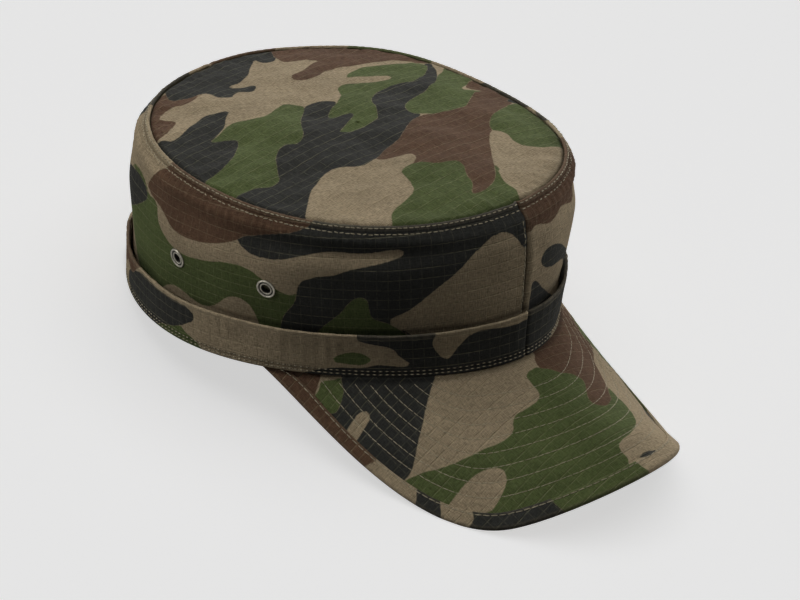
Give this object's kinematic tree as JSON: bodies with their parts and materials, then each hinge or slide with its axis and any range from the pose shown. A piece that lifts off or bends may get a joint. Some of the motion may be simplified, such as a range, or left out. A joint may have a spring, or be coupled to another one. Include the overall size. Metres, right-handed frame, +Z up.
{
  "type": "patrol cap",
  "caption": "Field cap in woodland camouflage ripstop cloth, with an oval crown, a folded-up band, an arched peak with a bound edge, and metal vent eyelets.",
  "frame": {"origin": "bottom centre of the bounding box, on the surface that the cap lies on", "axes": "+Z up, the peak points towards -Y, the wearer's right is -X"},
  "size_m": [0.1814, 0.2852, 0.1097],
  "materials": {
    "camouflage_cloth": "matt, printed in four woodland colours",
    "sewing_thread": "matt",
    "eyelet_metal": "satin, slightly darkened"
  },
  "bodies": {
    "root": {"crown_top": "camouflage_cloth", "side_panel_right": "camouflage_cloth", "side_panel_left": "camouflage_cloth", "band_right": "camouflage_cloth", "band_left": "camouflage_cloth", "peak": "camouflage_cloth", "peak_binding": "camouflage_cloth", "eyelet_right_front": "eyelet_metal", "eyelet_right_back": "eyelet_metal", "eyelet_left_front": "eyelet_metal", "eyelet_left_back": "eyelet_metal"}
  },
  "joints": []
}
